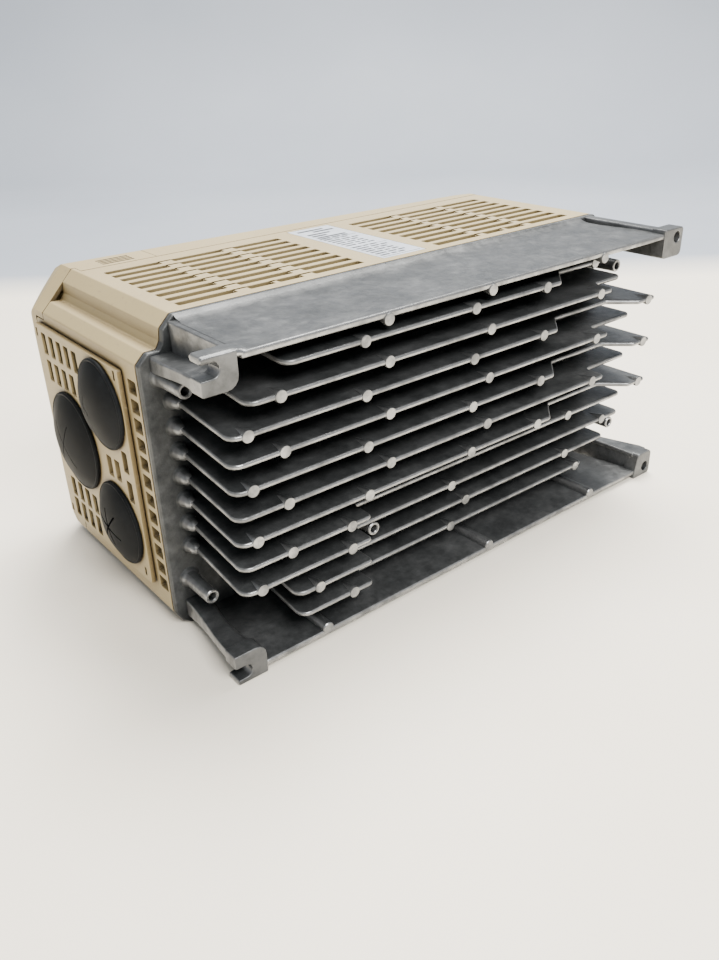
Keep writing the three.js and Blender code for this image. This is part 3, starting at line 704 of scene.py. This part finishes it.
def heat_sink():
    flange = slab("y", (FLANGE_REAR, FLANGE_FRONT), DRIVE_OUTLINE, edge=0.9)
    plate = slab("y", (FLANGE_FRONT - 0.6, 56), rectangle(22, 270, 7, 133, 3))
    body = union(flange, plate)
    for upper in (False, True):
        body = union(body, web(upper), web_fillet(upper), near_foot(upper), far_foot(upper), arm(upper))
        body = union(body, pocket_wall(upper), far_gusset(upper), far_shelf(upper))
    lugs = merged(*[pad(x, 134.7, 0.35) for x in (83.6, 141.5, 217.2)])
    rib_profile = [(0, 0.5), (2.4, 0.5), (2.75, 0.9), (2.9, ROOT), (0, ROOT)]
    ribs = [turned("y", (x, 5.3), rib_profile) for x in (47, 147, 226)]
    bosses = [screw_boss(9, 117, 30), screw_boss(9, 24, 30), screw_boss(84.5, 34, 14),
              screw_boss(264, 118, 26), screw_boss(266, 28.5, 21)]
    body = union(body, rod(), lugs, merged(*ribs))
    body = union(body, merged(*[fin(i) for i in range(len(FINS))]))
    return union(body, *bosses)


# ---------------------------------------------------------------- case

def slot_cutter(axis, outside, inside, a, b, flare=0.2):
    """Cuts a slot through a wall from its outer face, with a small chamfer around its mouth."""
    toward = 1 if outside > inside else -1
    rings = []
    for level, grow in ((outside + toward * 0.3, flare + 0.3), (outside - toward * flare, 0), (inside, 0)):
        loop = rectangle(a[0] - grow, a[1] + grow, b[0] - grow, b[1] + grow, 0.6 + grow)
        rings.append([AXES[axis] @ Vector((p.x, p.y, level)) for p in rounded(loop, 3)])
    return loft(rings)


# Each block of side vents, as its first slot's start, a slot's length and the columns' pitch
VENT_BLOCKS = [(25.3, 27, 33.3), (165, 29, 33.5)]
VENT_COLUMNS = 3
VENT_ROWS = [61 + 8.15 * row for row in range(9)]


def side_vents(outside, inside):
    cutters = []
    for first, length, pitch in VENT_BLOCKS:
        for row, y in enumerate(VENT_ROWS):
            for column in range(VENT_COLUMNS):
                x = first + pitch * column
                spans = [(x, x + length)]
                if row == 0 and column == 1:
                    spans = [(x, x + length / 2 - 1.2), (x + length / 2 + 1.2, x + length)]
                for span in spans:
                    cutters.append(slot_cutter("z", outside, inside, span, (y - 2.4, y + 2.4)))
    return merged(*cutters)


def side_grooves(outside, depth):
    """Shallow grooves that join each row's slots."""
    levels = sorted((outside - depth, outside + depth))
    grooves = []
    for first, length, pitch in VENT_BLOCKS:
        last = first + (VENT_COLUMNS - 1) * pitch + length
        grooves += [box((first + 1, last - 1), (y + 0.7, y + 2.3), levels) for y in VENT_ROWS]
    return merged(*grooves)


GROMMETS = [(86, 97.5, 20), (125, 67, 23.7), (87.5, 39.5, 19.8)]          # (y, z, radius)


def case_shell():
    """The case's wall, open towards the flange and the covers, with its vents."""
    body = slab("y", (CASE_REAR, SPLIT), DRIVE_OUTLINE, [CAVITY_OUTLINE], edge=0.35)
    tab = slab("x", (0.5, 3.1), rectangle(SPLIT - 3, 155, 16.5, 119.5, 2), edge=0.3)
    raised = slab("y", (SPLIT - 3, 145.7), DRIVE_OUTLINE, [CAVITY_OUTLINE], edge=0.3)
    combine(raised, "INTERSECT", box((-1, 19), (SPLIT - 2, 146), (-1, WIDTH + 1)))
    body = union(body, tab, raised)
    clearances = [slab("x", (-1, 4), circle(y, z, r - 0.9), edge=0.05) for y, z, r in GROMMETS]
    body = cut(body, box((-1, 4), (69, 151), (21, 114)), *clearances)
    rows = [17.1 + 8.4 * i for i in range(12)]
    end_vents = [slot_cutter("x", 0.5, 4, (54.9, 62.1), (z, z + 5.8)) for z in rows]
    outlets = []
    for row in range(7):
        for column in range(3):
            y, z = 68 + 9 * row, 17 + 37 * column
            outlets.append(slot_cutter("x", CASE_END, CASE_END - 4, (y, y + 4.5), (z, z + 32)))
    body = cut(body, merged(*end_vents), merged(*outlets))
    body = cut(body, side_vents(WIDTH, WIDTH - 4), side_vents(0, 4))
    body = cut(body, side_grooves(WIDTH, 0.7), side_grooves(0, 0.7))
    return cut(body, box((129.7, 156.3), (57.7, 135.3), (WIDTH - 0.6, WIDTH + 1)))


# ---------------------------------------------------------------- entry plate and grommets

def entry_plate():
    """The vented plate at the cable end, thinner behind its blocks of slots."""
    outline = [(65.5, 17, 1), (154.5, 17, 1), (154.5, 113, 0.6), (150.5, 118, 0.6), (65.5, 118, 1)]
    holes = [circle(y, z, r - 3.5, 40) for y, z, r in GROMMETS]

    def slot(y, z, height=10, width=5, radius=0.5):
        return rectangle(y - width / 2, y + width / 2, z - height / 2, z + height / 2, radius)

    for count, y, z in ((5, 143.5, 109.5), (4, 143, 96.5), (4, 143.4, 35.5), (4, 144.2, 23.5)):
        holes += [slot(y - 8.5 * i, z) for i in range(count)]
    holes += [slot(90, 67), slot(82, 67.5), slot(72.5, 75), slot(72, 61)]
    holes += [slot(y, z, 4, 1.6, 0.3) for y, z in ((151, 113.6), (69, 115), (152, 20), (70.3, 21.5))]
    plate = slab("x", (-2, 0.2), outline, holes, edge=0.25)
    blocks = (
        ((106, 148), (102, 116)), ((113, 148), (90, 101.5)),
        ((113, 149), (29, 41)), ((114, 149), (18, 28.5)),
    )
    return cut(plate, merged(*[box((-0.9, 1), ys, zs) for ys, zs in blocks]))


def dome(y, z, r):
    """A domed rubber membrane with a rolled rim, hollow behind."""
    neck = r - 3.8
    outer = []
    for k in range(15):
        t = k / 14
        bulge = (1 - (t * 0.92) ** 2.6) * (-3.1 - DOME)
        outer.append((r * 0.94 * t, -2.6 - bulge - 0.5 * (1 - t)))
    rim = [(r * 0.97, -3.9), (r * 0.995, -3.4), (r, -2.9), (r * 0.99, -2.3), (neck, -2.3), (neck, 0.5),
           (r - 1.5, 0.5), (r - 1.5, 1.4), (r - 2.5, 2.8), (r - 7, 2.8)]
    inner = [(r * 0.62, DOME + 4.4), (r * 0.4, DOME + 2.6), (0, DOME + 1.9)]
    return turned("x", (y, z), outer + rim + inner, 48)


def blade(y, z, length, width, angle):
    """A thin cutter through a dome's membrane, turned about x by an angle in degrees."""
    cutter = box((DOME - 3, 1.5), (-length / 2, length / 2), (-width / 2, width / 2))
    cutter.data.transform(Matrix.Translation((0, y, z)) @ Matrix.Rotation(math.radians(angle), 4, "X"))
    return cutter


def grommets():
    """The three membranes: one with faint cuts, one with a cross cut and one torn into a star."""
    plain, crossed, torn = [dome(*g) for g in GROMMETS]
    y, z, r = GROMMETS[1]
    cut(crossed, blade(y, z, r * 1.05, 0.5, 52), blade(y, z, r * 1.0, 0.5, 118))
    y, z, r = GROMMETS[2]
    cut(torn, *[blade(y, z, r * size, 1.0, angle) for size, angle in ((1.0, 20), (0.9, 75), (0.95, 130))])
    y, z, r = GROMMETS[0]
    cut(plain, blade(y + 4, z, r * 0.5, 0.4, 40), blade(y + 4, z, r * 0.45, 0.4, 100))
    return plain, crossed, torn


# ---------------------------------------------------------------- covers

def cover_section(x, inset, rear):
    """The covers' outline across the width at one x, drawn in by an inset, as (y, z) points."""
    near = min(1, max(0, (x - 0.5) / 17))
    far = min(1, max(0, (CASE_END - x) / 16))
    near_drop, far_drop = [1 - math.sqrt(1 - (1 - share) ** 2) for share in (near, far)]
    front = FRONT - 11 * near_drop - 16 * far_drop
    side = 157.5 - 0.0466 * (max(x, 17.5) - 17.5) - 3 * (1 - far)
    low = max(0, 1.333 * (5 - x) + 2 if x < 5 else 0.4 * (10 - x)) + max(0, x - 273)
    high = min(WIDTH, 127.3 + 0.956 * (x - 5) if x < 5 else 127.3 + 1.016 * (x - 5)) - max(0, x - 273)
    low, high, front, side = low + inset, high - inset, front - inset, max(side - inset, rear + 0.4)
    middle = (side + front) / 2 + 2
    half = [(rear, low), (side, low, 1.5), (middle, low + 3.5, 3), (front, low + 13, 3)]
    other = [(a, high + low - b, *rest) for a, b, *rest in reversed(half)]
    return rounded(half + other, 4)


def cover_solid(inset, rear):
    near_x = [0.5, 0.7, 1.2, 2, 3.2, 5, 7.5, 10, 13.5, 17.5]
    far_x = [262, 266, 269, 271.5, 273, 275, 276.5, 277.6, CASE_END]
    stations = [min(max(x, 0.5 + inset), CASE_END - inset) for x in near_x + [SEAM, 150] + far_x]
    stations = sorted(set(stations))
    return loft([[Vector((x, p.x, p.y)) for p in cover_section(x, inset, rear)] for x in stations])


def cover_half(keep):
    """The covers' hollow shell over one stretch of x."""
    body = cut(cover_solid(0, RIM), cover_solid(WALL, RIM + WALL))
    opening = slab("y", (SPLIT - 1, RIM + WALL + 0.3), CAVITY_OUTLINE, edge=0.05)
    body = cut(body, opening)
    return combine(body, "INTERSECT", box(keep, (SPLIT - 5, 200), (-5, WIDTH + 5)))


PANEL_X = (158, 252)
PANEL_Z = (41, 99)
PANEL_BACK = 156


def front_cover():
    (x0, x1), (z0, z1) = PANEL_X, PANEL_Z
    body = cover_half((SEAM + 0.3, 300))
    tray = box((x0 - 2.5, x1 + 2.5), (PANEL_BACK - 2.5, FRONT - 1), (z0 - 2.5, z1 + 2.5))
    notch_tray = box((220, 244), (161, FRONT - 1), (z1, z1 + 14))
    body = union(body, tray, notch_tray)
    mouth = rectangle(x0 - 0.5, x1 + 0.5, z0 - 0.5, z1 + 0.5, 3.4)
    pocket = slab("y", (PANEL_BACK - 0.3, 200), mouth, edge=0.1)
    finger_notch = slab("y", (163.5, 200), rectangle(222.5, 241.5, z1 - 5, z1 + 11.5, 4), edge=0.1)
    window = box((198, 218), (SPLIT, PANEL_BACK + 1), (60, 80))
    return cut(body, pocket, window, finger_notch)


def terminal_cover():
    body = cover_half((-10, SEAM))
    grooves = []
    for i in range(4):
        y = (142.3 + 2.6 * i, 143.6 + 2.6 * i)
        grooves += [box((31.5, 47.5), y, z) for z in ((-1, 0.9), (WIDTH - 0.9, WIDTH + 1))]
    body = cut(body, box((-10, 4), (SPLIT - 5, 155.3), (16, 120)), merged(*grooves))
    return cut(body, box((-1, 19.3), (SPLIT - 1, 146), (-1, WIDTH + 1)))


# ---------------------------------------------------------------- small pieces

def label_print():
    """Ruled lines and short bars on the nameplate, with no lettering."""
    levels = (WIDTH - 0.05, WIDTH + 0.02)
    marks = [box((131.5, 154.5), (y, y + 0.5), levels) for y in (60, 84.5, 108.5)]
    for k in range(14):
        y = 62.5 + 3.5 * k + (1.5 if k > 6 else 0)
        start = 132.5
        for length in (5.5 + k % 3, 3 + (2 * k) % 4, 4 + (3 * k) % 3):
            marks.append(box((start, start + length), (y, y + 1.6), levels))
            start += length + 1.2
    bars = ((112, 133, 151), (116, 133, 142), (120, 133, 147), (125, 140, 153), (129, 133, 149))
    marks += [box((start, stop), (y, y + 2.2), levels) for y, start, stop in bars]
    return merged(*marks)


def build_pieces():
    piece("heat_sink_casting", heat_sink(), ALUMINIUM, "drive", "cast_aluminium", "heat_sink")
    piece("case_shell", case_shell(), IVORY, "drive", "ivory_plastic", "case")
    piece("entry_plate_moulding", entry_plate(), IVORY, "drive", "ivory_plastic", "entry_plate")
    for i, obj in enumerate(grommets(), 1):
        piece(f"grommet_{i}", obj, RUBBER, "drive", "rubber", f"cable_grommet_{i}")
    piece("front_cover_shell", front_cover(), IVORY, "drive", "ivory_plastic", "front_cover")
    piece("terminal_cover_shell", terminal_cover(), IVORY, "terminal_cover", "ivory_plastic",
          "terminal_cover")
    piece("label_marks", label_print(), LABEL_INK, "drive", "label_foil")


# ---------------------------------------------------------------- stage

CAMERA_PLACE = (-125.76, -242.64, 236.67)
CAMERA_AZIMUTH = -38.3
CAMERA_ELEVATION = 28.14
CAMERA_ROLL = -1.82
AWAY = (0.62, 0.785, 0)          # the level direction in which the floor runs up to the wall
FOCAL_HEIGHTS = 0.8977           # focal length as a share of the picture's height


def camera():
    data = bpy.data.cameras.new("camera")
    data.sensor_fit = "VERTICAL"
    data.sensor_height = 24
    data.lens = 24 * FOCAL_HEIGHTS
    obj = new_object("camera", data)
    turn = Matrix.Rotation(math.radians(CAMERA_AZIMUTH), 4, "Z")
    tilt = Matrix.Rotation(math.radians(90 - CAMERA_ELEVATION), 4, "X")
    roll = Matrix.Rotation(math.radians(CAMERA_ROLL), 4, "Z")
    obj.matrix_world = Matrix.Translation(PLACE @ Vector(CAMERA_PLACE)) @ turn @ tilt @ roll
    bpy.context.scene.camera = obj


def area_light(name, place, target, size, energy, color):
    data = bpy.data.lights.new(name, "AREA")
    data.shape = "RECTANGLE"
    data.size, data.size_y = size
    data.energy = energy
    data.color = color
    obj = new_object(name, data)
    aim = Vector(target) - Vector(place)
    obj.matrix_world = Matrix.Translation(place) @ aim.to_track_quat("-Z", "Y").to_matrix().to_4x4()


def stage():
    turn = Matrix.Rotation(math.radians(CAMERA_AZIMUTH), 4, "Z")
    rings = []
    for across in (-4, 4):
        profile = [(-3, 0), (1.1, 0)]
        profile += [(1.1 + 0.3 * math.sin(a), 0.3 - 0.3 * math.cos(a)) for a in
                    [math.pi / 2 * k / 10 for k in range(1, 11)]]
        profile.append((1.4, 3))
        rings.append([turn @ Vector((across, along, up)) for along, up in profile])
    bm = bmesh.new()
    loops = [[bm.verts.new(p) for p in ring] for ring in rings]
    for k in range(1, len(loops[0])):
        bm.faces.new((loops[0][k - 1], loops[1][k - 1], loops[1][k], loops[0][k]))
    floor = from_bmesh("floor", bm)
    floor.data.materials.append(backdrop())
    floor.data.shade_smooth()


def lighting():
    world = bpy.data.worlds.new("studio")
    bpy.context.scene.world = world
    world.use_nodes = True
    background = world.node_tree.nodes["Background"]
    background.inputs["Color"].default_value = (0.88, 0.92, 0.97, 1)
    background.inputs["Strength"].default_value = 0.64
    area_light("ceiling", (0.6, 0.35, 1.6), (0, 0, 0), (1.1, 0.9), 92, (1, 0.975, 0.93))
    area_light("front", (-0.2, -1.2, 1.3), (0, 0, 0.05), (0.9, 0.6), 48, (1, 0.98, 0.95))


paint_cad_nodes()
build_pieces()
camera()
stage()
lighting()
